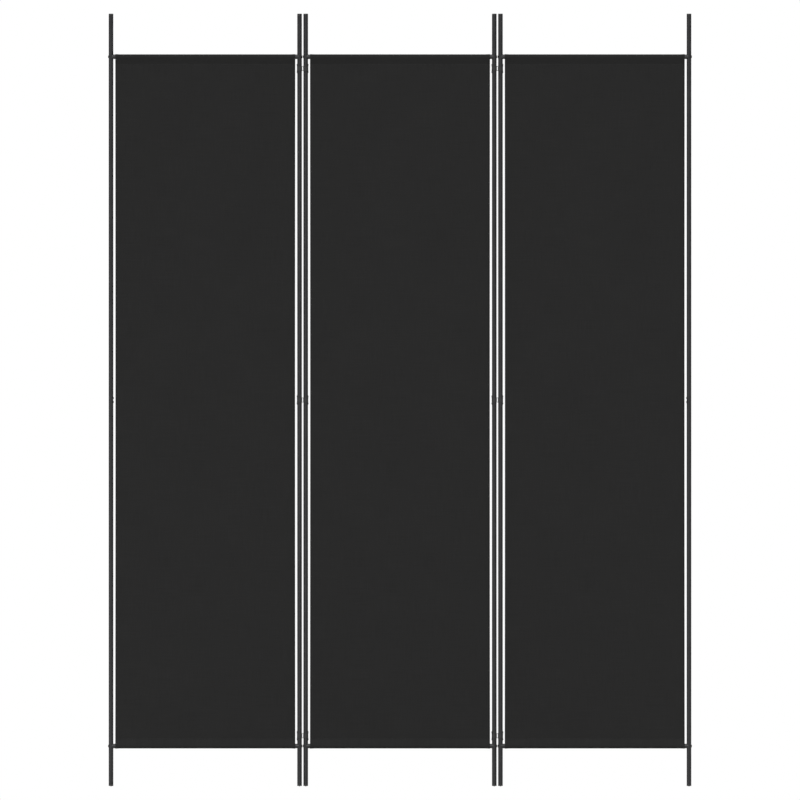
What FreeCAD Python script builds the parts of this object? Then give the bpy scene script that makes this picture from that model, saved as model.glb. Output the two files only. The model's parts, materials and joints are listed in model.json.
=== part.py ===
import FreeCAD, Part
import math
import os

import Sketcher

# A folding screen of three fabric panels on tubular steel frames.
#
# Frame: millimetres, +Z up, the front of the screen towards -Y. The origin is on the floor,
# midway along the unfolded screen. Every pole axis lies in the plane y = 0. The centre panel
# stands between x = -panel_pitch / 2 and x = +panel_pitch / 2, and one panel is hinged to each
# of its poles by three double-sleeve links.

SIZES = [
    ("screen_height", 2000, "floor to the top of the pole caps"),
    ("panel_pitch", 488, "between the two pole axes of one panel"),
    ("hinge_pitch", 16, "between the two pole axes that a hinge link joins"),
    ("seat_gap", 0.05, "between pieces that are pressed or screwed together"),
    ("pole_diameter", 12, "outside of a pole"),
    ("pole_wall", 0.8, "wall of a pole"),
    ("pole_joint_height", 1000, "floor to the joint between a pole's halves"),
    ("cap_height", 4, "visible part of a top cap"),
    ("foot_height", 6, "visible part of a foot"),
    ("foot_depth", 15.6, "a foot's size along Y; along X it is as wide as the pole"),
    ("foot_edge", 0.3, "rounding of a foot's lower and upper edges"),
    ("sole_width", 3.6, "raised sole under a foot, along X"),
    ("sole_depth", 14.2, "raised sole under a foot, along Y"),
    ("sole_height", 1, "how far the sole stands out below its foot"),
    ("cap_edge", 1.5, "rounding of a cap's outer edge"),
    ("plug_stem_length", 12, "stem of a cap or foot inside its pole"),
    ("plug_stem_clearance", 0.1, "radial, stem to the inside of the pole"),
    ("spigot_length", 60, "tube inside a pole joint"),
    ("spigot_wall", 1.2, "wall of a spigot"),
    ("spigot_clearance", 0.1, "radial, spigot to the inside of the pole"),
    ("bar_diameter", 12, "outside of a crossbar"),
    ("bar_wall", 0.8, "wall of a crossbar"),
    ("top_bar_drop", 111.6, "top of the poles to the top crossbar's axis"),
    ("bottom_bar_height", 104.4, "floor to the bottom crossbar's axis"),
    ("insert_length", 12, "threaded insert in a crossbar's end"),
    ("bar_screw_diameter", 4, "shank of a crossbar screw"),
    ("bar_screw_length", 20, "crossbar screw under its head"),
    ("bar_screw_head_diameter", 7, "head of a crossbar screw"),
    ("bar_screw_head_height", 1.4, "head of a crossbar screw"),
    ("bar_screw_key", 2.5, "across the flats of its hexagon socket"),
    ("pole_screw_diameter", 3, "shank of a joint or stop screw"),
    ("pole_screw_length", 3.4, "joint or stop screw under its head"),
    ("pole_screw_head_diameter", 5, "head of a joint or stop screw"),
    ("pole_screw_head_height", 1.2, "head of a joint or stop screw"),
    ("pole_screw_key", 2, "across the flats of its hexagon socket"),
    ("screw_clearance", 0.1, "radial, screw shank to its hole"),
    ("joint_screw_offset", 5.2, "pole joint to its screws where no link covers it"),
    ("link_height", 12.2, "hinge link along the pole"),
    ("link_running_gap", 0.1, "radial, hinge link to its poles"),
    ("link_sleeve_wall", 0.6, "wall of a link's sleeve"),
    ("link_rim", 0.6, "how far a link's rims stand out from its sleeves"),
    ("link_rim_thickness", 1.2, "rim and bridge of a link along the pole"),
    ("link_bridge_width", 7, "bridge between a link's two sleeves"),
    ("link_screw_gap", 0.6, "link to the heads of its stop screws"),
    ("top_hinge_drop", 30.4, "top crossbar's axis to the upper link's middle"),
    ("bottom_hinge_rise", 26.6, "bottom crossbar's axis to the lower link's middle"),
    ("cloth_side_gap", 5.2, "pole to the side edge of the fabric"),
    ("cloth_thickness", 0.6, "fabric with its turned hems"),
    ("pocket_clearance", 0.1, "crossbar to the inside of its rod pocket"),
    ("pocket_depth", 18, "crossbar's axis to where a pocket's layers meet"),
]

doc = FreeCAD.newDocument("folding_screen")
sheet = doc.addObject("Spreadsheet::Sheet", "Sizes")
for row, (alias, size, meaning) in enumerate(SIZES, start=1):
    sheet.set(f"A{row}", alias)
    sheet.set(f"B{row}", str(size))
    sheet.set(f"C{row}", meaning)
    sheet.setAlias(f"B{row}", alias)
doc.recompute()

# Sizes worked out from the sheet, written as expressions so that every feature stays bound to it.
CENTRE = "(0 * Sizes.pole_diameter)"
POLE_RADIUS = "(Sizes.pole_diameter / 2)"
POLE_BORE = "(Sizes.pole_diameter / 2 - Sizes.pole_wall)"
PLUG_STEM = f"({POLE_BORE} - Sizes.plug_stem_clearance)"
TUBE_BOTTOM = "(Sizes.foot_height + Sizes.seat_gap)"
TUBE_TOP = "(Sizes.screen_height - Sizes.cap_height - Sizes.seat_gap)"
TOP_BAR_LEVEL = "(Sizes.screen_height - Sizes.top_bar_drop)"
BOTTOM_BAR_LEVEL = "Sizes.bottom_bar_height"
BAR_RADIUS = "(Sizes.bar_diameter / 2)"
BAR_BORE = "(Sizes.bar_diameter / 2 - Sizes.bar_wall)"
SEATED_RADIUS = "(Sizes.pole_diameter / 2 + Sizes.seat_gap)"
LINK_BORE = "(Sizes.pole_diameter / 2 + Sizes.link_running_gap)"
LINK_SLEEVE = f"({LINK_BORE} + Sizes.link_sleeve_wall)"
LINK_RIM = f"({LINK_SLEEVE} + Sizes.link_rim)"
HINGE_LEVELS = {
    "upper": f"({TOP_BAR_LEVEL} - Sizes.top_hinge_drop)",
    "middle": "Sizes.pole_joint_height",
    "lower": f"({BOTTOM_BAR_LEVEL} + Sizes.bottom_hinge_rise)",
}
STOP_OFFSET = "(Sizes.link_height / 2 + Sizes.link_screw_gap + Sizes.pole_screw_head_diameter / 2)"
BAR_SCREW_HOLE = "(Sizes.bar_screw_diameter / 2 + Sizes.screw_clearance)"
POLE_SCREW_HOLE = "(Sizes.pole_screw_diameter / 2 + Sizes.screw_clearance)"

# Each panel: where its middle stands, and which of its poles are hinged.
PANELS = {
    "left": {"middle": "(-Sizes.panel_pitch - Sizes.hinge_pitch)", "hinged": ("right",)},
    "centre": {"middle": CENTRE, "hinged": ("left", "right")},
    "right": {"middle": "(Sizes.panel_pitch + Sizes.hinge_pitch)", "hinged": ("left",)},
}
SIDES = {"left": -1, "right": 1}
NODES = []


def value(expression):
    """The number that an expression on the sheet gives now."""
    return float(sheet.evalExpression(expression))


def base_plane(body, role):
    """One of a body's own three origin planes."""
    return [item for item in body.Origin.OriginFeatures if item.Role == role][0]


def new_body(label, x="0", y="0", z="0", exported=True):
    """A body whose own origin stands at x, y, z."""
    body = doc.addObject("PartDesign::Body", label)
    body.Label = label
    for letter, expression in (("x", x), ("y", y), ("z", z)):
        if expression != "0":
            body.setExpression(f"Placement.Base.{letter}", expression)
    if exported:
        NODES.append(body)
    return body


def new_sketch(body, role, label, offset="0"):
    """A sketch on one of the body's origin planes, moved along its normal by offset."""
    sketch = body.newObject("Sketcher::SketchObject", label)
    sketch.AttachmentSupport = [(base_plane(body, role), "")]
    sketch.MapMode = "FlatFace"
    if offset != "0":
        sketch.setExpression("AttachmentOffset.Base.z", offset)
    return sketch


def constrain(sketch, kind, *terms, size):
    """One dimension of a sketch, bound to an expression."""
    index = sketch.addConstraint(Sketcher.Constraint(kind, *terms, value(size)))
    sketch.setExpression(f"Constraints[{index}]", size)


def place_point(sketch, geometry, point, across, up):
    """Fix a point of a sketch by its two distances from the sketch's origin."""
    constrain(sketch, "DistanceX", -1, 1, geometry, point, size=across)
    constrain(sketch, "DistanceY", -1, 1, geometry, point, size=up)


def add_circle(sketch, radius, across=CENTRE, up=CENTRE):
    """A circle with its centre and radius bound to expressions."""
    centre = FreeCAD.Vector(value(across), value(up), 0)
    circle = Part.Circle(centre, FreeCAD.Vector(0, 0, 1), value(radius))
    index = sketch.addGeometry(circle, False)
    place_point(sketch, index, 3, across, up)
    constrain(sketch, "Radius", index, size=radius)


def add_outline(sketch, corners):
    """A closed polygon whose corners are pairs of expressions."""
    points = [FreeCAD.Vector(value(across), value(up), 0) for across, up in corners]
    lines = []
    for start, end in zip(points, points[1:] + points[:1]):
        lines.append(sketch.addGeometry(Part.LineSegment(start, end), False))
    for index, (line, (across, up)) in enumerate(zip(lines, corners)):
        sketch.addConstraint(Sketcher.Constraint("Coincident", line, 1, lines[index - 1], 2))
        place_point(sketch, line, 1, across, up)


def add_oval(sketch, half_width, half_depth):
    """Two half circles joined by straight sides, longer along the sketch's second axis."""
    radius, reach = value(half_width), value(half_depth) - value(half_width)
    arcs = []
    for way in (1, -1):
        ends = [FreeCAD.Vector(side * radius, way * reach, 0) for side in (way, -way)]
        crown = FreeCAD.Vector(0, way * (reach + radius), 0)
        arc = sketch.addGeometry(Part.Arc(ends[0], crown, ends[1]), False)
        place_point(sketch, arc, 3, CENTRE, f"({way} * ({half_depth} - {half_width}))")
        arcs.append(arc)
    for arc, other, way in ((arcs[0], arcs[1], 1), (arcs[1], arcs[0], -1)):
        start = FreeCAD.Vector(-way * radius, way * reach, 0)
        end = FreeCAD.Vector(-way * radius, -way * reach, 0)
        line = sketch.addGeometry(Part.LineSegment(start, end), False)
        sketch.addConstraint(Sketcher.Constraint("Tangent", arc, 2, line, 1))
        sketch.addConstraint(Sketcher.Constraint("Tangent", line, 2, other, 1))
    constrain(sketch, "Radius", arcs[0], size=half_width)


def pad(body, sketch, length, both_ways=False):
    """Grow a solid from a sketch, along its normal or half to each side."""
    feature = body.newObject("PartDesign::Pad", f"{sketch.Name}_pad")
    feature.Profile = sketch
    feature.Midplane = both_ways
    feature.setExpression("Length", length)


def pocket(body, sketch, length, both_ways=False, along_normal=False):
    """Cut a sketch out of a solid, and check that it took material away."""
    doc.recompute()
    before = body.Shape.Volume
    feature = body.newObject("PartDesign::Pocket", f"{sketch.Name}_pocket")
    feature.Profile = sketch
    feature.Midplane = both_ways
    feature.Reversed = along_normal
    feature.setExpression("Length", length)
    doc.recompute()
    if not body.Shape.Volume < before:
        raise RuntimeError(f"{body.Label}: {sketch.Label} cuts nothing")


def revolve(body, sketch):
    """A full turn of a sketch on the XZ plane about the body's own Z axis."""
    feature = body.newObject("PartDesign::Revolution", f"{sketch.Name}_turned")
    feature.Profile = sketch
    feature.ReferenceAxis = (sketch, ["V_Axis"])
    feature.Angle = 360


def round_rims(body, levels, size, label):
    """Round every edge of a piece that lies flat at one of the heights given."""
    doc.recompute()
    sharp = body.Tip
    heights = [value(level) for level in levels]
    edges = []
    for number, edge in enumerate(sharp.Shape.Edges, start=1):
        low, high = edge.BoundBox.ZMin, edge.BoundBox.ZMax
        if any(math.isclose(low, height, abs_tol=1e-4) and math.isclose(high, height, abs_tol=1e-4)
               for height in heights):
            edges.append(f"Edge{number}")
    if not edges:
        raise RuntimeError(f"{body.Label}: no rim to round")
    feature = body.newObject("PartDesign::Fillet", label)
    feature.Base = (sharp, edges)
    feature.setExpression("Radius", size)


def pole_axis(panel, side):
    """Where a pole stands along X."""
    return f"({PANELS[panel]['middle']} + {SIDES[side]} * Sizes.panel_pitch / 2)"


def pole_screw_levels(panel, side):
    """Heights of the joint screws and of the stop screws in one pole."""
    joint_offset = "Sizes.joint_screw_offset"
    stops = []
    if side in PANELS[panel]["hinged"]:
        joint_offset = STOP_OFFSET
        for hinge in ("upper", "lower"):
            stops.append(f"({HINGE_LEVELS[hinge]} + {STOP_OFFSET})")
            stops.append(f"({HINGE_LEVELS[hinge]} - {STOP_OFFSET})")
    joints = [
        f"(Sizes.pole_joint_height + {joint_offset})",
        f"(Sizes.pole_joint_height - {joint_offset})",
    ]
    return joints, stops


def make_pole_half(panel, side, half):
    """One half of a pole: a tube with holes for a crossbar screw and for the small screws."""
    label = f"{panel}_panel_{side}_pole_{half}"
    seam = "Sizes.pole_joint_height"
    if half == "upper":
        bottom, top, bar_level = f"({seam} + Sizes.seat_gap / 2)", TUBE_TOP, TOP_BAR_LEVEL
    else:
        bottom, top, bar_level = TUBE_BOTTOM, f"({seam} - Sizes.seat_gap / 2)", BOTTOM_BAR_LEVEL
    body = new_body(label, x=pole_axis(panel, side))
    ring = new_sketch(body, "XY_Plane", f"{label}_ring", offset=bottom)
    add_circle(ring, POLE_RADIUS)
    add_circle(ring, POLE_BORE)
    pad(body, ring, f"{top} - {bottom}")

    through = new_sketch(body, "YZ_Plane", f"{label}_bar_screw_hole")
    add_circle(through, BAR_SCREW_HOLE, up=bar_level)
    pocket(body, through, "Sizes.pole_diameter * 2", both_ways=True)

    joints, stops = pole_screw_levels(panel, side)
    middle = value(seam)
    levels = [level for level in joints + stops if (value(level) > middle) == (half == "upper")]
    inner = new_sketch(body, "YZ_Plane", f"{label}_small_screw_holes")
    for level in levels:
        add_circle(inner, POLE_SCREW_HOLE, up=level)
    pocket(body, inner, "Sizes.pole_diameter", along_normal=(side == "left"))


def make_spigot(panel, side):
    """The short tube inside a pole joint, with a hole for each joint screw."""
    label = f"{panel}_panel_{side}_pole_spigot"
    outside = f"({POLE_BORE} - Sizes.spigot_clearance)"
    body = new_body(label, x=pole_axis(panel, side))
    ring = new_sketch(body, "XY_Plane", f"{label}_ring", offset="Sizes.pole_joint_height")
    add_circle(ring, outside)
    add_circle(ring, f"({outside} - Sizes.spigot_wall)")
    pad(body, ring, "Sizes.spigot_length", both_ways=True)
    holes = new_sketch(body, "YZ_Plane", f"{label}_screw_holes")
    for level in pole_screw_levels(panel, side)[0]:
        add_circle(holes, POLE_SCREW_HOLE, up=level)
    pocket(body, holes, "Sizes.pole_diameter", along_normal=(side == "left"))


def make_top_cap(panel, side):
    """A rounded disc on a pole's upper end, with a stem inside the tube."""
    label = f"{panel}_panel_{side}_top_cap"
    seat = "(Sizes.screen_height - Sizes.cap_height)"
    stem_end = f"({seat} - Sizes.plug_stem_length)"
    body = new_body(label, x=pole_axis(panel, side))
    section = new_sketch(body, "XZ_Plane", f"{label}_section")
    add_outline(section, [
        (CENTRE, stem_end),
        (PLUG_STEM, stem_end),
        (PLUG_STEM, seat),
        (POLE_RADIUS, seat),
        (POLE_RADIUS, "Sizes.screen_height"),
        (CENTRE, "Sizes.screen_height"),
    ])
    revolve(body, section)
    round_rims(body, ["Sizes.screen_height"], "Sizes.cap_edge", f"{label}_rounding")


def make_foot(panel, side):
    """A foot longer from front to back than its pole is thick, on a raised sole, with a stem in the tube."""
    label = f"{panel}_panel_{side}_foot"
    body = new_body(label, x=pole_axis(panel, side))
    outline = new_sketch(body, "XY_Plane", f"{label}_outline", offset="Sizes.sole_height")
    add_oval(outline, POLE_RADIUS, "(Sizes.foot_depth / 2)")
    pad(body, outline, "(Sizes.foot_height - Sizes.sole_height)")
    round_rims(body, ["Sizes.sole_height", "Sizes.foot_height"], "Sizes.foot_edge", f"{label}_rounding")
    sole = new_sketch(body, "XY_Plane", f"{label}_sole")
    half_width, half_depth = "(Sizes.sole_width / 2)", "(Sizes.sole_depth / 2)"
    corners = ((-1, -1), (1, -1), (1, 1), (-1, 1))
    add_outline(sole, [(f"({x} * {half_width})", f"({y} * {half_depth})") for x, y in corners])
    pad(body, sole, "Sizes.sole_height")
    stem = new_sketch(body, "XY_Plane", f"{label}_stem", offset="Sizes.foot_height")
    add_circle(stem, PLUG_STEM)
    pad(body, stem, "Sizes.plug_stem_length")


def make_crossbar(panel, place, level):
    """A tube between the poles, its ends hollowed to sit against them."""
    label = f"{panel}_panel_{place}_bar"
    body = new_body(label, x=PANELS[panel]["middle"], z=level)
    ring = new_sketch(body, "YZ_Plane", f"{label}_ring")
    add_circle(ring, BAR_RADIUS)
    add_circle(ring, BAR_BORE)
    pad(body, ring, "Sizes.panel_pitch", both_ways=True)
    saddles = new_sketch(body, "XY_Plane", f"{label}_saddles")
    for side in SIDES.values():
        add_circle(saddles, SEATED_RADIUS, across=f"({side} * Sizes.panel_pitch / 2)")
    pocket(body, saddles, "Sizes.bar_diameter * 2", both_ways=True)


def make_insert_master():
    """A threaded insert for a crossbar's end, its outer face on z = 0 and its body above it."""
    body = new_body("bar_insert", exported=False)
    ring = new_sketch(body, "XY_Plane", "bar_insert_ring")
    add_circle(ring, f"({BAR_BORE} - Sizes.seat_gap)")
    add_circle(ring, BAR_SCREW_HOLE)
    pad(body, ring, "Sizes.insert_length")
    return body


def make_screw_master(name):
    """A low-head screw along Z: its head's seat on z = 0, its shank below, a hexagon socket above."""
    head = f"(Sizes.{name}_head_diameter / 2)"
    shank = f"(Sizes.{name}_diameter / 2)"
    top = f"Sizes.{name}_head_height"
    tip = f"(-Sizes.{name}_length)"
    body = new_body(name, exported=False)
    section = new_sketch(body, "XZ_Plane", f"{name}_section")
    add_outline(section, [
        (CENTRE, tip),
        (shank, tip),
        (shank, CENTRE),
        (head, CENTRE),
        (head, top),
        (CENTRE, top),
    ])
    revolve(body, section)
    round_rims(body, [top], f"({top} / 2)", f"{name}_head_rounding")
    socket = new_sketch(body, "XY_Plane", f"{name}_socket", offset=top)
    corner = f"(Sizes.{name}_key / 2 / cos(30deg))"
    turns = [f"({corner} * cos({60 * step}deg))" for step in range(6)]
    rises = [f"({corner} * sin({60 * step}deg))" for step in range(6)]
    add_outline(socket, list(zip(turns, rises)))
    pocket(body, socket, f"({top} / 2)")
    return body


def make_group(label, master, places):
    """Copies of one fastener in one node; a place is x, z and the side its head points to."""
    copies = []
    for number, (x, z, side) in enumerate(places, start=1):
        copy = doc.addObject("App::Link", f"{label}_{number}")
        copy.LinkedObject = master
        turn = FreeCAD.Rotation(FreeCAD.Vector(0, 1, 0), 90 * side)
        copy.Placement = FreeCAD.Placement(FreeCAD.Vector(), turn)
        copy.setExpression("Placement.Base.x", x)
        copy.setExpression("Placement.Base.z", z)
        copies.append(copy)
    group = doc.addObject("Part::Compound", label)
    group.Label = label
    group.Links = copies
    NODES.append(group)


def make_panel_fasteners(panel, insert, bar_screw, pole_screw):
    """The screws and threaded inserts of one panel, like with like."""
    inserts = []
    bar_screws = []
    joint_screws = []
    stop_screws = []
    for side, sign in SIDES.items():
        axis = pole_axis(panel, side)
        outer = f"({axis} + {sign} * {SEATED_RADIUS})"
        inner = f"({axis} - {sign} * {SEATED_RADIUS})"
        for level in (TOP_BAR_LEVEL, BOTTOM_BAR_LEVEL):
            inserts.append((inner, level, -sign))
            bar_screws.append((outer, level, sign))
        joints, stops = pole_screw_levels(panel, side)
        joint_screws += [(inner, level, -sign) for level in joints]
        stop_screws += [(inner, level, -sign) for level in stops]
    make_group(f"{panel}_panel_bar_inserts", insert, inserts)
    make_group(f"{panel}_panel_bar_screws", bar_screw, bar_screws)
    make_group(f"{panel}_panel_joint_screws", pole_screw, joint_screws)
    make_group(f"{panel}_panel_stop_screws", pole_screw, stop_screws)


def make_fabric(panel):
    """The fabric: a sheet in the plane y = 0 that widens into a round rod pocket at each end.

    Its section is a circle about each crossbar, with straight flanks that leave the circle at a
    tangent and close on the sheet at the pocket's depth.
    """
    label = f"{panel}_panel_fabric"
    around = f"({BAR_RADIUS} + Sizes.pocket_clearance + Sizes.cloth_thickness)"
    half_sheet = "(Sizes.cloth_thickness / 2)"
    body = new_body(label, x=PANELS[panel]["middle"])
    section = new_sketch(body, "YZ_Plane", f"{label}_section")

    # The flank from (half_sheet, depth below the axis) touches the circle where the radius is
    # square to it: its direction is found from the angle at the far point and the one that the
    # radius subtends there.
    radius, edge, depth = value(around), value(half_sheet), value("Sizes.pocket_depth")
    reach = math.hypot(edge, depth)
    lean = math.atan2(edge, depth) - math.acos(radius / reach) + math.pi / 2
    touch_y, touch_z = radius * math.cos(lean), radius * math.sin(lean)

    chain = []
    for level, way in ((value(TOP_BAR_LEVEL), 1), (value(BOTTOM_BAR_LEVEL), -1)):
        right = FreeCAD.Vector(way * touch_y, level - way * touch_z, 0)
        left = FreeCAD.Vector(-way * touch_y, level - way * touch_z, 0)
        over = FreeCAD.Vector(0, level + way * radius, 0)
        right_meet = FreeCAD.Vector(way * edge, level - way * depth, 0)
        left_meet = FreeCAD.Vector(-way * edge, level - way * depth, 0)
        flank_up = section.addGeometry(Part.LineSegment(right_meet, right), False)
        arc = section.addGeometry(Part.Arc(right, over, left), False)
        flank_down = section.addGeometry(Part.LineSegment(left, left_meet), False)
        chain.append((flank_up, arc, flank_down, way))
    top, bottom = chain
    face_left = section.addGeometry(Part.LineSegment(
        FreeCAD.Vector(-edge, value(TOP_BAR_LEVEL) - depth, 0),
        FreeCAD.Vector(-edge, value(BOTTOM_BAR_LEVEL) + depth, 0)), False)
    face_right = section.addGeometry(Part.LineSegment(
        FreeCAD.Vector(edge, value(BOTTOM_BAR_LEVEL) + depth, 0),
        FreeCAD.Vector(edge, value(TOP_BAR_LEVEL) - depth, 0)), False)
    for flank_up, arc, flank_down, way in chain:
        section.addConstraint(Sketcher.Constraint("Tangent", flank_up, 2, arc, 1))
        section.addConstraint(Sketcher.Constraint("Tangent", arc, 2, flank_down, 1))
        level = TOP_BAR_LEVEL if way == 1 else BOTTOM_BAR_LEVEL
        place_point(section, arc, 3, CENTRE, level)
        constrain(section, "Radius", arc, size=around)
        meet = f"({level} - {way} * Sizes.pocket_depth)"
        place_point(section, flank_up, 1, f"({way} * {half_sheet})", meet)
        place_point(section, flank_down, 2, f"(-{way} * {half_sheet})", meet)
    for line, end, other, other_end in (
        (face_left, 1, top[2], 2),
        (face_left, 2, bottom[0], 1),
        (face_right, 1, bottom[2], 2),
        (face_right, 2, top[0], 1),
    ):
        section.addConstraint(Sketcher.Constraint("Coincident", line, end, other, other_end))
    for level in (TOP_BAR_LEVEL, BOTTOM_BAR_LEVEL):
        add_circle(section, f"({BAR_RADIUS} + Sizes.pocket_clearance)", up=level)
    width = "(Sizes.panel_pitch - Sizes.pole_diameter - 2 * Sizes.cloth_side_gap)"
    pad(body, section, width, both_ways=True)


def add_link_plate(body, label, bottom):
    """One rim of a hinge link: two discs joined by a bridge, with a hole for each pole."""
    half_pitch = "(Sizes.hinge_pitch / 2)"
    half_width = "(Sizes.link_bridge_width / 2)"
    plate = new_sketch(body, "XY_Plane", label, offset=bottom)
    angle = math.asin(value(half_width) / value(LINK_RIM))
    spans = {1: (angle - math.pi, math.pi - angle), -1: (angle, 2 * math.pi - angle)}
    arcs = {}
    for way, (start, end) in spans.items():
        centre = FreeCAD.Vector(way * value(half_pitch), 0, 0)
        circle = Part.Circle(centre, FreeCAD.Vector(0, 0, 1), value(LINK_RIM))
        arcs[way] = plate.addGeometry(Part.ArcOfCircle(circle, start, end), False)
        place_point(plate, arcs[way], 3, f"({way} * {half_pitch})", CENTRE)
        constrain(plate, "Radius", arcs[way], size=LINK_RIM)
    waist = value(half_pitch) - value(LINK_RIM) * math.cos(angle)
    for way, from_end, to_end in ((1, 1, 2), (-1, 2, 1)):
        across = way * value(half_width)
        line = plate.addGeometry(Part.LineSegment(
            FreeCAD.Vector(-waist, across, 0), FreeCAD.Vector(waist, across, 0)), False)
        plate.addConstraint(Sketcher.Constraint("Coincident", line, 1, arcs[-1], from_end))
        plate.addConstraint(Sketcher.Constraint("Coincident", line, 2, arcs[1], to_end))
        plate.addConstraint(Sketcher.Constraint("Horizontal", line))
        constrain(plate, "DistanceY", -1, 1, line, 1, size=f"({way} * {half_width})")
    for way in (-1, 1):
        add_circle(plate, LINK_BORE, across=f"({way} * {half_pitch})")
    pad(body, plate, "Sizes.link_rim_thickness")


def make_hinge_link(side, hinge):
    """A hinge link: two thin sleeves round neighbouring poles, joined by a bridge at each rim."""
    label = f"{side}_{hinge}_hinge_link"
    middle = f"({SIDES[side]} * (Sizes.panel_pitch + Sizes.hinge_pitch) / 2)"
    body = new_body(label, x=middle, z=HINGE_LEVELS[hinge])
    add_link_plate(body, f"{label}_lower_rim", "(-Sizes.link_height / 2)")
    between = "(Sizes.link_height - 2 * Sizes.link_rim_thickness)"
    sleeves = new_sketch(body, "XY_Plane", f"{label}_sleeves", offset=f"(-{between} / 2)")
    for way in (-1, 1):
        add_circle(sleeves, LINK_SLEEVE, across=f"({way} * Sizes.hinge_pitch / 2)")
        add_circle(sleeves, LINK_BORE, across=f"({way} * Sizes.hinge_pitch / 2)")
    pad(body, sleeves, between)
    add_link_plate(body, f"{label}_upper_rim", f"({between} / 2)")


def check_document():
    """Stop on any object that failed to compute and on any node without a sound solid."""
    for item in doc.Objects:
        if "Invalid" in item.State or "Error" in item.State:
            raise RuntimeError(f"{item.Label} failed: {item.State}")
    for node in NODES:
        if node.Shape.isNull() or not node.Shape.isValid() or not node.Shape.Solids:
            raise RuntimeError(f"{node.Label} has no valid solid")


def write_nodes():
    """One file for each node, named by its label."""
    os.makedirs("parts", exist_ok=True)
    for node in NODES:
        node.Shape.exportStep(f"parts/{node.Label}.step")
        box = node.Shape.BoundBox
        print(f"{node.Label}: {len(node.Shape.Solids)} solid(s), {node.Shape.Volume:.0f} mm3, "
              f"z {box.ZMin:.2f} to {box.ZMax:.2f}")


insert_master = make_insert_master()
bar_screw_master = make_screw_master("bar_screw")
pole_screw_master = make_screw_master("pole_screw")
for panel_name in PANELS:
    for side_name in SIDES:
        make_pole_half(panel_name, side_name, "upper")
        make_pole_half(panel_name, side_name, "lower")
        make_spigot(panel_name, side_name)
        make_top_cap(panel_name, side_name)
        make_foot(panel_name, side_name)
    make_crossbar(panel_name, "top", TOP_BAR_LEVEL)
    make_crossbar(panel_name, "bottom", BOTTOM_BAR_LEVEL)
    make_panel_fasteners(panel_name, insert_master, bar_screw_master, pole_screw_master)
    make_fabric(panel_name)
for side_name in SIDES:
    for hinge_name in HINGE_LEVELS:
        make_hinge_link(side_name, hinge_name)

doc.recompute()
check_document()
write_nodes()
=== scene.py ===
"""Dresses the folding screen: its three cloths, their stitching, the finish of every part, and the
studio."""

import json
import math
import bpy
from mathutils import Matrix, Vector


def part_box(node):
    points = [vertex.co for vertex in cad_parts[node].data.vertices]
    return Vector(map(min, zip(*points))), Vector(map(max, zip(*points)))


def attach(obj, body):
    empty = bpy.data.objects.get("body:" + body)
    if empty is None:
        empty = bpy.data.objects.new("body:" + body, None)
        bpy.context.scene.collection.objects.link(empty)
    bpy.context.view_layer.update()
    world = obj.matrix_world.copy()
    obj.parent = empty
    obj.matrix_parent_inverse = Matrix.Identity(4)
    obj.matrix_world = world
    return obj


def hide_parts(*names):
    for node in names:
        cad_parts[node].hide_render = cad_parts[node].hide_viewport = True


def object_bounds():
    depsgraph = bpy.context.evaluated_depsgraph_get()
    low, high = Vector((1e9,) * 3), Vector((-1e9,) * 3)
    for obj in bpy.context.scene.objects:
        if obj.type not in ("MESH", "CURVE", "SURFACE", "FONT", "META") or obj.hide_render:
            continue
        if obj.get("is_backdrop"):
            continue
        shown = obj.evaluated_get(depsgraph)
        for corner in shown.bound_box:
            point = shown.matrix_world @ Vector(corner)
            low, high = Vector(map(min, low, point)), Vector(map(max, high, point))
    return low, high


bl_info = {
    "name": "Folding Screen",
    "version": (1, 0, 0),
    "blender": (4, 5, 0),
    "location": "3D View > Sidebar > Folding Screen",
    "description": "Hangs and sews the cloths of a folding screen and finishes its frame",
    "category": "Object",
}

import bpy
import numpy as np

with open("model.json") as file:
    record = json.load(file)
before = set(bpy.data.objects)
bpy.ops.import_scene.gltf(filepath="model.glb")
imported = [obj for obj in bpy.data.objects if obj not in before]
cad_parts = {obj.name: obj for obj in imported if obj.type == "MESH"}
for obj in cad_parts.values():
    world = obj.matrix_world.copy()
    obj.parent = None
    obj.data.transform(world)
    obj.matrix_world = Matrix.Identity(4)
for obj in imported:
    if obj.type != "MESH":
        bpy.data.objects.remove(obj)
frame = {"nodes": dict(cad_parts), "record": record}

CAD_LOW, CAD_HIGH = (np.array(corner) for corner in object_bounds())
CENTRE = (CAD_LOW + CAD_HIGH) / 2
HEIGHT = float(CAD_HIGH[2] - CAD_LOW[2])
PANELS = ("left", "centre", "right")
MM = 0.001
WHITE, BLACK = (1, 1, 1, 1), (0, 0, 0, 1)
CLOTH_SEED = 20
WAVE_PERIOD = 0.314  # the distance in which a wave texture of scale 1 repeats
CAMERA_DISTANCE, CAMERA_REACH = 6.0, 50.0


def linear(hex_colour):
    """A colour written as sRGB hex, turned to linear light by the sRGB curve, with an alpha of
    1."""
    parts = [int(hex_colour[i:i + 2], 16) / 255 for i in (1, 3, 5)]
    lit = (p / 12.92 if p <= 0.04045 else ((p + 0.055) / 1.055) ** 2.4 for p in parts)
    return (*lit, 1.0)


# ---------------------------------------------------------------- meshes

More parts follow.
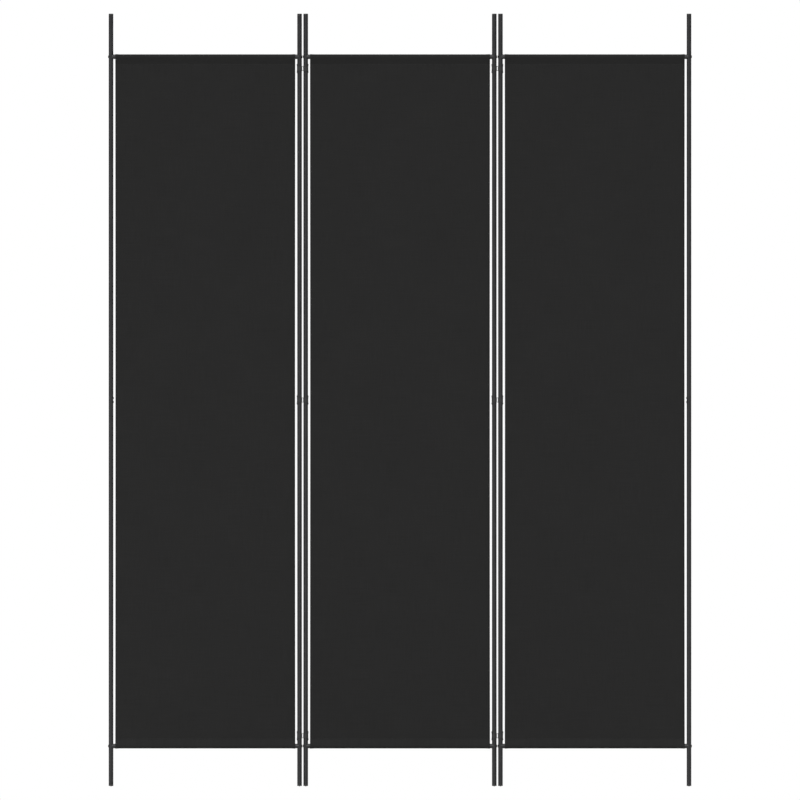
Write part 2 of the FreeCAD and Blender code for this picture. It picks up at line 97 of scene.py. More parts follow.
def new_object(name, points, faces, material, uv=None):
    """A smooth mesh object at the origin, from points, equal-sided faces and a UV for each
    point."""
    mesh = bpy.data.meshes.new(name)
    points = np.asarray(points, dtype=np.float64).reshape(-1, 3)
    mesh.from_pydata(points, [], faces)
    if uv is not None:
        corners = np.empty(len(mesh.loops), dtype=np.int32)
        mesh.loops.foreach_get("vertex_index", corners)
        layer = mesh.uv_layers.new(name="cloth")
        uv = np.asarray(uv, dtype=np.float32).reshape(-1, 2)
        layer.data.foreach_set("uv", uv[corners].ravel())
    mesh.polygons.foreach_set("use_smooth", np.ones(len(mesh.polygons), dtype=bool))
    mesh.materials.append(material)
    mesh.update()
    if mesh.validate():
        raise RuntimeError(f"{name}: the mesh had to be repaired")
    piece = bpy.data.objects.new(name, mesh)
    bpy.context.scene.collection.objects.link(piece)
    return piece


def grid_faces(rows, columns):
    """The quads of a grid of rows by columns points, turned so that row x column points
    outwards."""
    corner = np.arange(rows * columns).reshape(rows, columns)
    quads = [corner[:-1, :-1], corner[1:, :-1], corner[1:, 1:], corner[:-1, 1:]]
    return np.stack(quads, axis=-1).reshape(-1, 4).tolist()


# ---------------------------------------------------------------- cloth shape

def run_length(points):
    """The length along a line of points, from its first point to each of them."""
    step = np.diff(points, axis=0)
    return np.concatenate([[0], np.cumsum(np.hypot(step[:, 0], step[:, 1]))])


def straight(start, end, count):
    """Points on the straight line between two points, without its last one."""
    share = np.linspace(0, 1, count, endpoint=False)[:, None]
    return (1 - share) * np.array(start) + share * np.array(end)


def around_bar(centre, radius, first, last, count):
    """Points on a circle about a bar, from one angle to another, without the last one."""
    angle = np.linspace(first, last, count, endpoint=False)
    return np.array(centre) + radius * np.stack([np.cos(angle), np.sin(angle)], axis=-1)


def touch_angle(point, centre, radius, turn):
    """Where a straight line from a point touches a circle: the point's own angle seen from the
    centre, turned by the angle whose cosine is radius over distance."""
    across, up = point[0] - centre[0], point[1] - centre[1]
    return math.atan2(up, across) + turn * math.acos(radius / math.hypot(across, up))


def cloth_path(panel, cloth):
    """The cloth's run in the YZ plane, from its edge behind the upper seam, over the top bar, down
    the front, round the bottom bar and up to its edge behind the lower seam. Each piece of the run
    is a straight line or an arc, and an arc meets its lines at their tangent points. Returns the
    length along the run, the points, their outward normals, and three weights: seat is 1 on a bar
    and falls to 0 at its seam, hang is 1 less seat, and flap is hang behind the seams and 0 in
    front."""
    bars = []
    for place in ("top", "bottom"):
        low, high = (np.array(corner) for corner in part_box(f"{panel}_panel_{place}_bar"))
        bars.append(((low + high)[1:] / 2, (high - low)[2] / 2))
    (top, radius), (bottom, _) = bars
    radius += cloth.thickness / 2 + cloth.slack
    seam = cloth.pocket_depth
    front_top, front_bottom = (top[0], top[1] - seam), (bottom[0], bottom[1] + seam)
    back_top = (top[0] + cloth.flap_gap, front_top[1])
    back_bottom = (bottom[0] + cloth.flap_gap, front_bottom[1])
    raw_top = (back_top[0], back_top[1] - cloth.flap_length)
    raw_bottom = (back_bottom[0], back_bottom[1] + cloth.flap_length)
    leave = (touch_angle(back_top, top, radius, 1),
             touch_angle(front_top, top, radius, -1) + math.tau)
    enter = (touch_angle(front_bottom, bottom, radius, 1),
             touch_angle(back_bottom, bottom, radius, -1) + math.tau)
    on_top = [top + radius * np.array([math.cos(a), math.sin(a)]) for a in leave]
    on_bottom = [bottom + radius * np.array([math.cos(a), math.sin(a)]) for a in enter]
    near = 3 * cloth.pucker_reach
    near_top = (front_top[0], front_top[1] - near)
    near_bottom = (front_bottom[0], front_bottom[1] + near)
    open_rows = max(2, round((front_top[1] - front_bottom[1] - 2 * near) / cloth.row_spacing))
    flap_rows, flank_rows, arc_rows, near_rows = 3, 7, 20, 12
    runs = [
        (straight(raw_top, back_top, flap_rows), 1, 1, 1, 1),
        (straight(back_top, on_top[0], flank_rows), 1, 0, 1, 0),
        (around_bar(top, radius, *leave, arc_rows), 0, 0, 0, 0),
        (straight(on_top[1], front_top, flank_rows), 0, 1, 0, 0),
        (straight(front_top, near_top, near_rows), 1, 1, 0, 0),
        (straight(near_top, near_bottom, open_rows), 1, 1, 0, 0),
        (straight(near_bottom, front_bottom, near_rows), 1, 1, 0, 0),
        (straight(front_bottom, on_bottom[0], flank_rows), 1, 0, 0, 0),
        (around_bar(bottom, radius, *enter, arc_rows), 0, 0, 0, 0),
        (straight(on_bottom[1], back_bottom, flank_rows), 0, 1, 0, 1),
        (straight(back_bottom, raw_bottom, flap_rows), 1, 1, 1, 1),
    ]

    def weight(first, last):
        """A weight that runs evenly between the two values each run gives for it."""
        parts = [np.linspace(run[first], run[last], len(run[0]), endpoint=False) for run in runs]
        return np.concatenate(parts + [[1]])

    points = np.concatenate([run[0] for run in runs] + [[raw_bottom]])
    hang, flap = weight(1, 2), weight(3, 4)
    length = run_length(points)
    along = np.gradient(points, length, axis=0)
    along /= np.linalg.norm(along, axis=1, keepdims=True)
    normal = np.stack([along[:, 1], -along[:, 0]], axis=-1)
    return {
        "length": length, "points": points, "normal": normal,
        "hang": hang, "flap": flap, "seat": 1 - hang,
        "seams": (front_top[1], front_bottom[1]), "bars": (float(top[1]), float(bottom[1])),
    }


def front_seams(path):
    """How far along the run the front layer crosses the upper and the lower seam."""
    height, behind = path["points"][:, 1], path["flap"] > 0
    return [path["length"][np.argmin(np.where(behind, np.inf, np.abs(height - seam)))]
            for seam in path["seams"]]


def hem_path(width, cloth):
    """The cloth's run across its width: from the raw edge of the left hem, out to the side, round a
    half circle, across the front, round the other half circle and back to the raw edge of the right
    hem. Returns the distance across from the middle, the depth behind the front layer and the
    length run."""
    bend = cloth.hem_gap / 2
    side = width / 2 - bend
    turn = np.linspace(-math.pi / 2, -3 * math.pi / 2, 7)
    fold = np.stack([-side + bend * np.cos(turn), -bend + bend * np.sin(turn)], axis=-1)
    raw = straight((-side + cloth.hem_width, -cloth.hem_gap), (-side, -cloth.hem_gap), 4)
    columns = 2 * round(width / cloth.column_spacing / 2)
    half = straight((-side, 0), (0, 0), columns // 2)[1:]
    left = np.concatenate([raw, fold, half])
    right = left[::-1] * (-1, 1)
    points = np.concatenate([left, [(0, 0)], right])
    return points[:, 0], points[:, 1], run_length(points)


def unevenness(across, up, path, panel, cloth):
    """How far the stretched cloth stands out of its plane: three long soft folds as sines across
    the width that lean a little with height, plus short puckers that die away from each seam."""
    rng = np.random.default_rng(CLOTH_SEED + PANELS.index(panel))
    out = np.zeros(np.broadcast(across, up).shape)
    for wave, share in ((0.183, 0.45), (0.097, 0.35), (0.061, 0.20)):
        lean = rng.uniform(-0.05, 0.05)
        phase = rng.uniform(0, math.tau)
        drift = rng.uniform(2.5, 4.5)
        strength = 0.65 + 0.35 * np.sin(up * drift + phase)
        fold = np.sin(math.tau * (across + lean * up) / wave + phase)
        out = out + cloth.fold_depth * share * strength * fold
    for seam in path["seams"]:
        away = np.abs(up - seam)
        phase = rng.uniform(0, math.tau)
        wander = 1.3 * np.sin(across * 31 + phase)
        ripple = np.sin(math.tau * across / cloth.pucker_pitch + phase + wander)
        out = out + cloth.pucker_depth * ripple * np.exp(-away / cloth.pucker_reach)
    return out


def cloth_surface(run, across, depth, path, panel, middle, width, cloth):
    """Points of the cloth: the place on its run, moved along the run's normal by the layer's depth
    and, round a bar, by the hem below it; then in Y by the unevenness, by the hems under the flaps
    and by a square curve that rolls the sides back, and in X by the necking, greatest midway
    between the bars."""
    at = {key: np.interp(run, path["length"], values) for key, values in (
        ("y", path["points"][:, 0]), ("z", path["points"][:, 1]),
        ("ny", path["normal"][:, 0]), ("nz", path["normal"][:, 1]),
        ("hang", path["hang"]), ("flap", path["flap"]), ("seat", path["seat"]))}
    inward = width / 2 - np.abs(across)
    hem_fade = 1.6 * cloth.hem_width
    to_edge = np.clip(inward / hem_fade, 0, 1)
    over_hem = 1 - to_edge * to_edge * (3 - 2 * to_edge)
    away = depth + at["seat"] * over_hem * cloth.hem_gap
    y = at["y"] + at["ny"] * away
    z = at["z"] + at["nz"] * away
    top, bottom = path["bars"]
    share = np.clip((z - bottom) / (top - bottom), 0, 1)
    x = across * (1 - cloth.necking * 4 * share * (1 - share) / (width / 2))
    rolled = cloth.side_roll * np.clip(1 - inward / cloth.hem_width, 0, 1) ** 2
    lifted = at["flap"] * 2 * cloth.hem_gap * over_hem
    y = y + at["hang"] * (unevenness(x, z, path, panel, cloth) + rolled) + lifted
    return np.stack(np.broadcast_arrays(middle + x, y, z), axis=-1)


def cloth_width(panel):
    """The middle and the width of a panel's cloth, from its solid in the frame."""
    low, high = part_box(f"{panel}_panel_fabric")
    return (low[0] + high[0]) / 2, high[0] - low[0]


# ---------------------------------------------------------------- stitches

def stitch_row(centres, along, out, thread):
    """One short arched stitch at each centre: a tube of five sides on four rings, its middle
    highest and its closed ends sunk into the cloth. Returns points and faces."""
    along, out = np.array(along, dtype=float), np.array(out, dtype=float)
    aside = np.cross(along, out)
    place = np.array([-0.85, -0.35, 0.35, 0.85])
    taper = np.array([0.75, 1, 1, 0.75])
    arch, sides = 1.4, 5
    radius = thread.radius * taper
    rise = thread.radius * arch * (1 - place ** 2)
    turn = np.arange(sides) * math.tau / sides
    ring = (
        (place * thread.length / 2)[:, None, None] * along
        + (rise[:, None] + radius[:, None] * np.cos(turn))[:, :, None] * out
        + (radius[:, None] * np.sin(turn))[:, :, None] * aside
    ).reshape(-1, 3)
    ends = np.array([-1, 1])[:, None] * along * thread.length / 2 - out * thread.radius
    one = np.concatenate([ring, ends])
    last_ring, first_end, last_end = len(ring) - sides, len(ring), len(ring) + 1
    pairs = [(k, (k + 1) % sides) for k in range(sides)]
    quads = [(row + a, row + b, row + b + sides, row + a + sides)
             for row in range(0, last_ring, sides) for a, b in pairs]
    caps = [(first_end, b, a) for a, b in pairs]
    caps += [(last_end, last_ring + a, last_ring + b) for a, b in pairs]
    points = (centres[:, None, :] + one[None]).reshape(-1, 3)
    start = (np.arange(len(centres)) * len(one))[:, None, None]
    faces = []
    for shapes in (quads, caps):
        faces += (start + np.array(shapes)).reshape(-1, len(shapes[0])).tolist()
    return points, faces


def places_between(low, high, pitch):
    """Evenly spaced places between two ends, as near the pitch as whole stitches allow."""
    count = max(1, int((high - low) / pitch))
    return low + (np.arange(count) + 0.5) * (high - low) / count


# ---------------------------------------------------------------- materials

def add_node(tree, kind, feeds=None, **settings):
    """Add one node, set its properties, and set or feed its inputs by name or number."""
    node = tree.nodes.new(kind)
    for name, value in settings.items():
        setattr(node, name, value)
    for name, value in (feeds or {}).items():
        if isinstance(value, bpy.types.NodeSocket):
            tree.links.new(value, node.inputs[name])
        else:
            node.inputs[name].default_value = value
    return node


def new_material(name):
    """A material with an empty node tree, and its Principled shader joined to the output."""
    material = bpy.data.materials.new(name)
    material.use_nodes = True
    tree = material.node_tree
    tree.nodes.clear()
    shader = add_node(tree, "ShaderNodeBsdfPrincipled")
    add_node(tree, "ShaderNodeOutputMaterial", {"Surface": shader.outputs[0]})
    return material, tree, shader


def feed(tree, node, **inputs):
    """Set or join inputs of a node that is already there; underscores stand for spaces."""
    for name, value in inputs.items():
        socket = node.inputs[name.replace("_", " ")]
        if isinstance(value, bpy.types.NodeSocket):
            tree.links.new(value, socket)
        else:
            socket.default_value = value


def noise(tree, place, scale, detail, roughness=0.5):
    """The value of a noise texture at a place."""
    return add_node(tree, "ShaderNodeTexNoise", {
        "Vector": place, "Scale": scale, "Detail": detail, "Roughness": roughness}).outputs[0]


def calculate(tree, operation, *values):
    """The result of a math node."""
    node = add_node(tree, "ShaderNodeMath", dict(enumerate(values)), operation=operation)
    return node.outputs[0]


def spread(tree, value, low, high, to_low, to_high):
    """A value's range from low to high, spread over a second range."""
    return add_node(tree, "ShaderNodeMapRange", {
        "Value": value, "From Min": low, "From Max": high,
        "To Min": to_low, "To Max": to_high}).outputs[0]


def blend(tree, share, shade, light):
    """The colour that lies between a shade and a light by a share."""
    node = add_node(tree, "ShaderNodeMix", {0: share, 6: shade, 7: light}, data_type="RGBA")
    return node.outputs[2]


def relief(tree, height, strength, distance):
    """A normal tilted by the slopes of a height."""
    return add_node(tree, "ShaderNodeBump", {
        "Height": height, "Strength": strength, "Distance": distance}).outputs[0]


def object_place(tree):
    """The place on the object, in its own frame."""
    return add_node(tree, "ShaderNodeTexCoord").outputs["Object"]


def woven_polyester(cloth):
    """Plain-woven black polyester, dyed in the yarn and stretched.

    The weave is two sets of rounded threads that pass over and under each other, so the light
    breaks up into a fine dull grain with no clear highlight. Its yarns are uneven: some are a little
    thicker and paler, which gives faint streaks along and across the cloth. The real threads lie
    about 0.5 mm apart; they are drawn 1.5 mm apart so that the weave can be seen at all.
    """
    material, tree, shader = new_material("woven_black_polyester")
    pitch, yarn_width = 1.5 * MM, 1.6 * MM
    place = add_node(tree, "ShaderNodeUVMap", uv_map="cloth").outputs[0]
    axes = add_node(tree, "ShaderNodeSeparateXYZ", {0: place})
    ridges = []
    for axis in (0, 1):
        scaled = calculate(tree, "MULTIPLY", axes.outputs[axis], math.pi / pitch)
        ridges.append(calculate(tree, "ABSOLUTE", calculate(tree, "SINE", scaled)))
    over = add_node(tree, "ShaderNodeTexChecker", {
        "Vector": place, "Color1": WHITE, "Color2": BLACK, "Scale": 1 / pitch})
    weave = add_node(tree, "ShaderNodeMix", {
        0: over.outputs[1], 2: ridges[0], 3: ridges[1]}, data_type="FLOAT").outputs[0]
    streaks = []
    for along, across in ((0.09, yarn_width), (yarn_width, 0.06)):
        stretch = add_node(tree, "ShaderNodeMapping", {
            "Vector": place, "Scale": (1 / along, 1 / across, 1)})
        streaks.append(noise(tree, stretch.outputs[0], scale=1.0, detail=3.0, roughness=0.6))
    uneven = calculate(tree, "ADD", *streaks)
    patch = noise(tree, place, scale=7.0, detail=2.0)
    yarn = blend(tree, spread(tree, uneven, 0.65, 1.35, 0.0, 1.0), cloth.shade, cloth.light)
    # Painted shade: the gaps between the threads, the low parts of the weave, are darkened to 0.62
    # of the yarn colour; the patches then vary the tone at random.
    gap_painted_shade = spread(tree, weave, 0.0, 0.45, 0.62, 1.0)
    patch_tone = spread(tree, patch, 0.3, 0.7, 0.96, 1.04)
    painted_shade_and_patch_tone = calculate(tree, "MULTIPLY", gap_painted_shade, patch_tone)
    colour = add_node(tree, "ShaderNodeVectorMath", {0: yarn, 1: painted_shade_and_patch_tone}, operation="MULTIPLY")
    height = calculate(tree, "MULTIPLY_ADD", uneven, 0.25, weave)
    feed(tree, shader, Base_Color=colour.outputs[0],
         Roughness=spread(tree, uneven, 0.6, 1.4, 0.86, 0.74),
         Normal=relief(tree, height, 0.35, 0.15 * MM),
         Sheen_Weight=0.03, Sheen_Roughness=0.5, IOR=1.45, Specular_IOR_Level=0.25)
    return material


def polyester_thread(cloth):
    """Twisted black polyester sewing thread: its plies give a fine slanted ribbing and a slight
    gloss. Its colour is blended at random between the cloth's shade and a paler thread colour, which
    is painted sheen, so it reads a shade paler than the cloth. The ribs, really 0.2 mm apart, are
    drawn 0.6 mm apart."""
    material, tree, shader = new_material("twisted_polyester_thread")
    rib_pitch, sheen_spot_size = 0.6 * MM, 0.5 * MM
    place = object_place(tree)
    ply = add_node(tree, "ShaderNodeTexWave", {
        "Vector": place, "Scale": WAVE_PERIOD / rib_pitch, "Distortion": 0.6},
        bands_direction="DIAGONAL")
    painted_sheen_spots = noise(tree, place, scale=1 / sheen_spot_size, detail=2.0)
    # Painted sheen: the paler thread colour stands in for the thread's gloss and is blended in at
    # random spots.
    feed(tree, shader, Base_Color=blend(tree, painted_sheen_spots, cloth.shade, cloth.thread), Roughness=0.55,
         Normal=relief(tree, ply.outputs[1], 0.5, 0.05 * MM), IOR=1.5)
    return material


def powder_coat(finish):
    """Black powder coat baked on steel tube: a satin skin with a faint orange-peel ripple, so
    highlights along the tube are broad and slightly uneven. The ripple is about 1.5 mm across, and
    the fine grain of the powder, really 0.1 mm, is drawn at 0.4 mm."""
    material, tree, shader = new_material("satin_powder_coat")
    peel_size, grain_size, cloud_size = 1.5 * MM, 0.4 * MM, 0.035
    place = object_place(tree)
    peel = noise(tree, place, scale=1 / peel_size, detail=1.0, roughness=0.4)
    grain = noise(tree, place, scale=1 / grain_size, detail=2.0)
    cloud = noise(tree, place, scale=1 / cloud_size, detail=3.0)
    height = calculate(tree, "MULTIPLY_ADD", grain, 0.2, peel)
    feed(tree, shader, Base_Color=blend(tree, cloud, finish.coat_shade, finish.coat_light),
         Roughness=spread(tree, cloud, 0.3, 0.7, 0.40, 0.50),
         Normal=relief(tree, height, 0.25, 0.05 * MM), IOR=1.52)
    return material


def moulded_plastic(name, shade, light, roughness, grain_size, ior):
    """Black plastic moulded in a spark-eroded mould: an even fine grain with soft gloss on its high
    points, slightly greyer where the melt flowed slowly. The grain, really about 0.15 mm, is drawn
    larger, at the size given."""
    material, tree, shader = new_material(name)
    flow_size, swing = 12 * MM, 0.07
    place = object_place(tree)
    grain = noise(tree, place, scale=1 / grain_size, detail=3.0, roughness=0.65)
    flow = noise(tree, place, scale=1 / flow_size, detail=2.0)
    feed(tree, shader, Base_Color=blend(tree, flow, shade, light),
         Roughness=spread(tree, grain, 0.3, 0.7, roughness - swing, roughness + swing),
         Normal=relief(tree, grain, 0.3, 0.05 * MM), IOR=ior)
    return material


def treated_steel(name, shade, light, roughness):
    """Steel with a thin surface treatment, turned or drawn before it: a metal gloss broken by fine
    tool lines and a cloudy film. The lines, really 0.05 mm apart, are drawn 0.3 mm apart."""
    material, tree, shader = new_material(name)
    film_size, line_size = 2 * MM, 0.3 * MM
    place = object_place(tree)
    film = noise(tree, place, scale=1 / film_size, detail=3.0)
    lines = noise(tree, place, scale=1 / line_size, detail=1.0)
    feed(tree, shader, Base_Color=blend(tree, film, shade, light),
         Roughness=spread(tree, film, 0.3, 0.7, roughness - 0.06, roughness + 0.08),
         Normal=relief(tree, lines, 0.15, 0.02 * MM), Metallic=1.0)
    return material


def studio_floor(stage):
    """Matt white studio paint on a smooth board: even and pale, with a barely visible roller
    texture."""
    material, tree, shader = new_material("matt_white_paint")
    roller = noise(tree, object_place(tree), scale=60.0, detail=2.0)
    feed(tree, shader, Base_Color=blend(tree, roller, stage.floor_shade, stage.floor_light),
         Roughness=0.85)
    return material


def finish_nodes(slot, material):
    """Give a material to every node of the frame that the record puts in a slot."""
    names = [part["node"] for part in frame["record"]["subparts"] if part["material_slot"] == slot]
    if not names:
        raise RuntimeError(f"the frame has no part in the slot {slot}")
    for name in names:
        frame["nodes"][name].material_slots[0].material = material


# ---------------------------------------------------------------- settings

def length_setting(name, description, default):
    """A length in metres, typed in the scene's units."""
    return bpy.props.FloatProperty(
        name=name, description=description, default=default,
        min=0.0, precision=5, unit="LENGTH", subtype="DISTANCE")


def colour_setting(name, description, hex_colour):
    """A colour with alpha, its default given as sRGB hex."""
    return bpy.props.FloatVectorProperty(
        name=name, description=description, default=linear(hex_colour),
        size=4, min=0.0, max=1.0, subtype="COLOR")


class ClothSettings(bpy.types.PropertyGroup):
    """Sizes and colours of the three cloths and their thread"""
    thickness: length_setting("Thickness", "Thickness of one layer of cloth", 0.3 * MM)
    hem_width: length_setting("Hem width", "Width of cloth turned back at each side", 8 * MM)
    hem_gap: length_setting(
        "Hem layer distance", "Distance between the middles of the two layers of a hem", 0.45 * MM)
    slack: length_setting(
        "Pocket slack", "Space left between a bar and the cloth round it", 0.05 * MM)
    pocket_depth: length_setting("Pocket depth", "Distance from a bar's axis to its seam", 18 * MM)
    flap_length: length_setting("Seam allowance", "Cloth left behind a seam", 7 * MM)
    flap_gap: length_setting(
        "Allowance distance", "How far behind the cloth the seam allowance lies", 0.5 * MM)
    fold_depth: length_setting("Tension fold depth", "Height of the long soft folds", 0.3 * MM)
    pucker_depth: length_setting("Pucker depth", "Height of the puckers at a seam", 0.2 * MM)
    pucker_pitch: length_setting("Pucker pitch", "Distance from one pucker to the next", 14 * MM)
    pucker_reach: length_setting("Pucker reach", "Distance in which the puckers fade", 12 * MM)
    side_roll: length_setting(
        "Side roll", "How far the sides of the open cloth roll back", 1.3 * MM)
    necking: length_setting(
        "Necking", "How far each side is drawn in midway between the bars", 0.5 * MM)
    row_spacing: length_setting("Row spacing", "Mesh spacing along the open cloth", 14 * MM)
    column_spacing: length_setting("Column spacing", "Mesh spacing across the cloth", 3 * MM)
    shade: colour_setting("Cloth shade", "Colour of the thin, darker yarns", "#181818")
    light: colour_setting("Cloth light", "Colour of the thick, paler yarns", "#1d1d1d")
    # Painted sheen: this paler colour stands in for the thread's gloss; the stitches blend it in at
    # random spots, not on their high points.
    thread: colour_setting("Thread", "Colour of the sewing thread's high points", "#303030")


class ThreadSettings(bpy.types.PropertyGroup):
    """Sizes of the stitches"""
    pitch: length_setting("Stitch pitch", "Distance from one stitch to the next", 3.2 * MM)
    length: length_setting("Stitch length", "Length of the thread seen in one stitch", 2.4 * MM)
    radius: length_setting("Thread radius", "Half the thickness of the thread", 0.18 * MM)
    below_seam: length_setting(
        "Seam offset", "Distance from the pocket's closing line to the stitches", 2 * MM)
    from_raw_edge: length_setting(
        "Hem offset", "Distance from a hem's raw edge to its stitches", 1.8 * MM)


class FinishSettings(bpy.types.PropertyGroup):
    """Colours of the frame's finishes"""
    coat_shade: colour_setting("Coat shade", "Darker colour of the powder coat", "#151517")
    coat_light: colour_setting("Coat light", "Paler colour of the powder coat", "#1b1b1d")
    nylon_shade: colour_setting("Nylon shade", "Darker colour of the hinge links", "#1c1c1d")
    nylon_light: colour_setting("Nylon light", "Paler colour of the hinge links", "#242425")
    plug_shade: colour_setting("Plug shade", "Darker colour of the caps and feet", "#1d1d1d")
    plug_light: colour_setting("Plug light", "Paler colour of the caps and feet", "#262626")
    oxide_shade: colour_setting("Black oxide shade", "Darker colour of the screws", "#2c2b2b")
    oxide_light: colour_setting("Black oxide light", "Paler colour of the screws", "#3b3a39")
    zinc_shade: colour_setting("Zinc shade", "Darker colour of the zinc-plated steel", "#9a9ca0")
    zinc_light: colour_setting("Zinc light", "Paler colour of the zinc-plated steel", "#c3c5c8")


class StageSettings(bpy.types.PropertyGroup):
    """The studio around the screen"""
    floor_size: length_setting("Floor size", "Length of each side of the floor", 24.0)
    floor_shade: colour_setting("Floor shade", "Darker colour of the floor", "#f0f0ee")
    floor_light: colour_setting("Floor light", "Paler colour of the floor", "#f4f4f2")
    margin: bpy.props.FloatProperty(
        name="Framing", description="Height of the picture over the height of the screen",
        default=1.0353, min=1.0, max=3.0, subtype="FACTOR")
    key: bpy.props.FloatProperty(
        name="Key light", description="Strength of the light in front", default=2.8, min=0.0)
    back: bpy.props.FloatProperty(
        name="Back light", description="Strength of the light behind", default=1.2, min=0.0)
    fill: bpy.props.FloatProperty(
        name="Fill", description="Strength of the light from all round", default=0.25, min=0.0)


# ---------------------------------------------------------------- operators

class FOLDINGSCREEN_OT_hang_cloths(bpy.types.Operator):
    """Weave the three cloths, hem their sides and stretch them between their bars"""
    bl_idname = "folding_screen.hang_cloths"
    bl_label = "Hang Cloths"

    def execute(self, context):
        cloth = context.scene.folding_screen_cloth
        material = woven_polyester(cloth)
        for panel in PANELS:
            middle, width = cloth_width(panel)
            path = cloth_path(panel, cloth)
            across, depth, girth = hem_path(width, cloth)
            run = path["length"][:, None]
            points = cloth_surface(
                run, across[None], depth[None], path, panel, middle, width, cloth)
            uv = np.stack(np.broadcast_arrays(girth[None], run), axis=-1)
            faces = grid_faces(len(run), len(across))
            piece = new_object(f"{panel}_cloth", points, faces, material, uv)
            layer = piece.modifiers.new("layer", "SOLIDIFY")
            layer.thickness = cloth.thickness
            layer.offset = 0.0
            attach(piece, f"{panel}_panel")
            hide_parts(f"{panel}_panel_fabric")
            piece["cut_width"] = float(girth[-1])
            piece["cut_length"] = float(path["length"][-1])
        return {"FINISHED"}


class FOLDINGSCREEN_OT_sew_seams(bpy.types.Operator):
    bl_idname = "folding_screen.sew_seams"
    bl_label = "Sew Seams"

    def execute(self, context):
        cloth = context.scene.folding_screen_cloth
        thread = context.scene.folding_screen_thread
        material = polyester_thread(cloth)
        for panel in PANELS:
            piece = bpy.data.objects.get(f"{panel}_cloth")
            if piece is None:
                raise RuntimeError("hang the cloths before sewing them")
            middle, width = cloth_width(panel)
            path = cloth_path(panel, cloth)
            layer, end_gap = cloth.thickness / 2, 1.5 * MM
            out = {"front": (0.0, -1.0, 0.0), "back": (0.0, 1.0, 0.0)}
            rows = []

            def sew(run, across, depth, face, along):
                """Rows of stitches on one face of the layer at a depth, resting on its surface."""
                centres = cloth_surface(run, across, depth, path, panel, middle, width, cloth)
                centres = centres + np.array(out[face]) * layer
                rows.append(stitch_row(centres.reshape(-1, 3), along, out[face], thread))

            inset = places_between(-width / 2 + end_gap, width / 2 - end_gap, thread.pitch)
            front, front_end = front_seams(path)
            for run, flap_run in (
                (front + thread.below_seam, cloth.flap_length - thread.below_seam),
                (front_end - thread.below_seam,
                 path["length"][-1] - cloth.flap_length + thread.below_seam),
            ):
                sew(np.full_like(inset, run), inset, 0.0, "front", (1, 0, 0))
                sew(np.full_like(inset, flap_run), inset, 0.0, "back", (1, 0, 0))
            climb = places_between(front + thread.pitch, front_end - thread.pitch, thread.pitch)
            behind = places_between(front + cloth.flap_length + thread.pitch,
                                    front_end - cloth.flap_length - thread.pitch, thread.pitch)
            for side in (-1, 1):
                line = side * (width / 2 - cloth.hem_width + thread.from_raw_edge)
                sew(climb, np.full_like(climb, line), 0.0, "front", (0, 0, 1))
                sew(behind, np.full_like(behind, line), -cloth.hem_gap, "back", (0, 0, 1))
            points, faces, start = [], [], 0
            for row_points, row_faces in rows:
                points.append(row_points)
                faces += [tuple(corner + start for corner in face) for face in row_faces]
                start += len(row_points)
            stitches = new_object(f"{panel}_stitches", np.concatenate(points), faces, material)
            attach(stitches, f"{panel}_panel")
        return {"FINISHED"}


class FOLDINGSCREEN_OT_coat_tubes(bpy.types.Operator):
    """Powder coat the poles and the crossbars"""
    bl_idname = "folding_screen.coat_tubes"
    bl_label = "Coat Tubes"

    def execute(self, context):
        finish_nodes("black_powder_coated_steel", powder_coat(context.scene.folding_screen_finish))
        return {"FINISHED"}


class FOLDINGSCREEN_OT_mould_links(bpy.types.Operator):
    """Finish the hinge links as moulded nylon"""
    bl_idname = "folding_screen.mould_links"
    bl_label = "Mould Hinge Links"

    def execute(self, context):
        finish = context.scene.folding_screen_finish
        finish_nodes("black_nylon", moulded_plastic(
            "moulded_nylon", finish.nylon_shade, finish.nylon_light,
            roughness=0.5, grain_size=0.5 * MM, ior=1.53))
        return {"FINISHED"}


class FOLDINGSCREEN_OT_mould_plugs(bpy.types.Operator):
    """Finish the top caps and the feet as moulded polyethylene"""
    bl_idname = "folding_screen.mould_plugs"
    bl_label = "Mould Caps and Feet"

    def execute(self, context):
        finish = context.scene.folding_screen_finish
        finish_nodes("black_end_plug_plastic", moulded_plastic(
            "moulded_polyethylene", finish.plug_shade, finish.plug_light,
            roughness=0.6, grain_size=0.6 * MM, ior=1.51))
        return {"FINISHED"}


class FOLDINGSCREEN_OT_treat_fasteners(bpy.types.Operator):
    """Finish the screws in black oxide and the hidden inserts and spigots in zinc"""
    bl_idname = "folding_screen.treat_fasteners"
    bl_label = "Treat Fasteners"

    def execute(self, context):
        finish = context.scene.folding_screen_finish
        finish_nodes("black_oxide_screws", treated_steel(
            "black_oxide_steel", finish.oxide_shade, finish.oxide_light, roughness=0.4))
        finish_nodes("bare_steel", treated_steel(
            "zinc_plated_steel", finish.zinc_shade, finish.zinc_light, roughness=0.32))
        return {"FINISHED"}


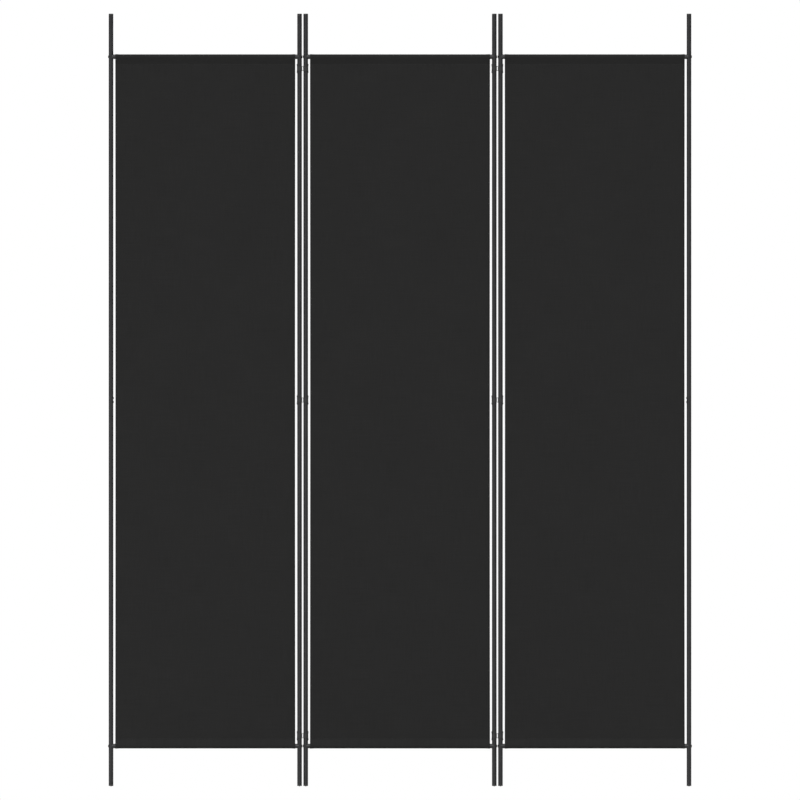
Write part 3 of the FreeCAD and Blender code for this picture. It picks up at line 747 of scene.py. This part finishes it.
class FOLDINGSCREEN_OT_set_stage(bpy.types.Operator):
    """Lay the floor, set the soft lights and place the camera square to the screen"""
    bl_idname = "folding_screen.set_stage"
    bl_label = "Set Stage"

    def execute(self, context):
        stage = context.scene.folding_screen_stage
        scene = context.scene
        reach = stage.floor_size / 2
        corners = [(x, y, CAD_LOW[2]) for y in (-reach, reach) for x in (-reach, reach)]
        floor = new_object("studio_floor", corners, [(0, 1, 3, 2)], studio_floor(stage))
        floor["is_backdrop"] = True

        for name, strength, size, tilt, turn in (
            ("key_light", stage.key, 32, 47, -22),
            ("back_light", stage.back, 50, -48, 20),
        ):
            lamp = bpy.data.lights.new(name, "SUN")
            lamp.energy, lamp.angle = strength, math.radians(size)
            holder = bpy.data.objects.new(name, lamp)
            holder.rotation_euler = (math.radians(tilt), 0, math.radians(turn))
            scene.collection.objects.link(holder)

        world = bpy.data.worlds.new("studio")
        world.use_nodes = True
        tree = world.node_tree
        tree.nodes.clear()
        rays = add_node(tree, "ShaderNodeLightPath")
        around = add_node(tree, "ShaderNodeBackground", {"Color": WHITE, "Strength": stage.fill})
        seen = add_node(tree, "ShaderNodeBackground", {"Color": WHITE, "Strength": 1.0})
        mix = add_node(tree, "ShaderNodeMixShader", {
            0: rays.outputs["Is Camera Ray"], 1: around.outputs[0], 2: seen.outputs[0]})
        add_node(tree, "ShaderNodeOutputWorld", {"Surface": mix.outputs[0]})
        scene.world = world
        scene.view_settings.view_transform = "Standard"

        lens = bpy.data.cameras.new("camera")
        lens.type = "ORTHO"
        lens.ortho_scale = HEIGHT * stage.margin
        lens.clip_end = CAMERA_REACH
        camera = bpy.data.objects.new("camera", lens)
        camera.location = (CENTRE[0], CAD_LOW[1] - CAMERA_DISTANCE, CENTRE[2])
        camera.rotation_euler = (math.pi / 2, 0, 0)
        scene.collection.objects.link(camera)
        scene.camera = camera
        return {"FINISHED"}


class FOLDINGSCREEN_PT_panel(bpy.types.Panel):
    """The screen's pieces and settings"""
    bl_label = "Folding Screen"
    bl_idname = "FOLDINGSCREEN_PT_panel"
    bl_space_type = "VIEW_3D"
    bl_region_type = "UI"
    bl_category = "Folding Screen"

    def draw(self, context):
        for operator in OPERATORS:
            self.layout.operator(operator.bl_idname)
        for name in SETTINGS:
            group = getattr(context.scene, name)
            box = self.layout.box()
            for setting in type(group).__annotations__:
                box.prop(group, setting)


SETTINGS = {
    "folding_screen_cloth": ClothSettings,
    "folding_screen_thread": ThreadSettings,
    "folding_screen_finish": FinishSettings,
    "folding_screen_stage": StageSettings,
}
OPERATORS = (
    FOLDINGSCREEN_OT_hang_cloths,
    FOLDINGSCREEN_OT_sew_seams,
    FOLDINGSCREEN_OT_coat_tubes,
    FOLDINGSCREEN_OT_mould_links,
    FOLDINGSCREEN_OT_mould_plugs,
    FOLDINGSCREEN_OT_treat_fasteners,
    FOLDINGSCREEN_OT_set_stage,
)
CLASSES = (*SETTINGS.values(), *OPERATORS, FOLDINGSCREEN_PT_panel)


def register():
    """Register every class and hang the settings on the scene."""
    for item in CLASSES:
        bpy.utils.register_class(item)
    for name, group in SETTINGS.items():
        setattr(bpy.types.Scene, name, bpy.props.PointerProperty(type=group))


def unregister():
    """Take the settings and the classes away again."""
    for name in SETTINGS:
        delattr(bpy.types.Scene, name)
    for item in reversed(CLASSES):
        bpy.utils.unregister_class(item)


def main():
    """Build everything in order."""
    register()
    for operator in OPERATORS:
        group, name = operator.bl_idname.split(".")
        getattr(getattr(bpy.ops, group), name)()


if __name__ == "__main__":
    main()
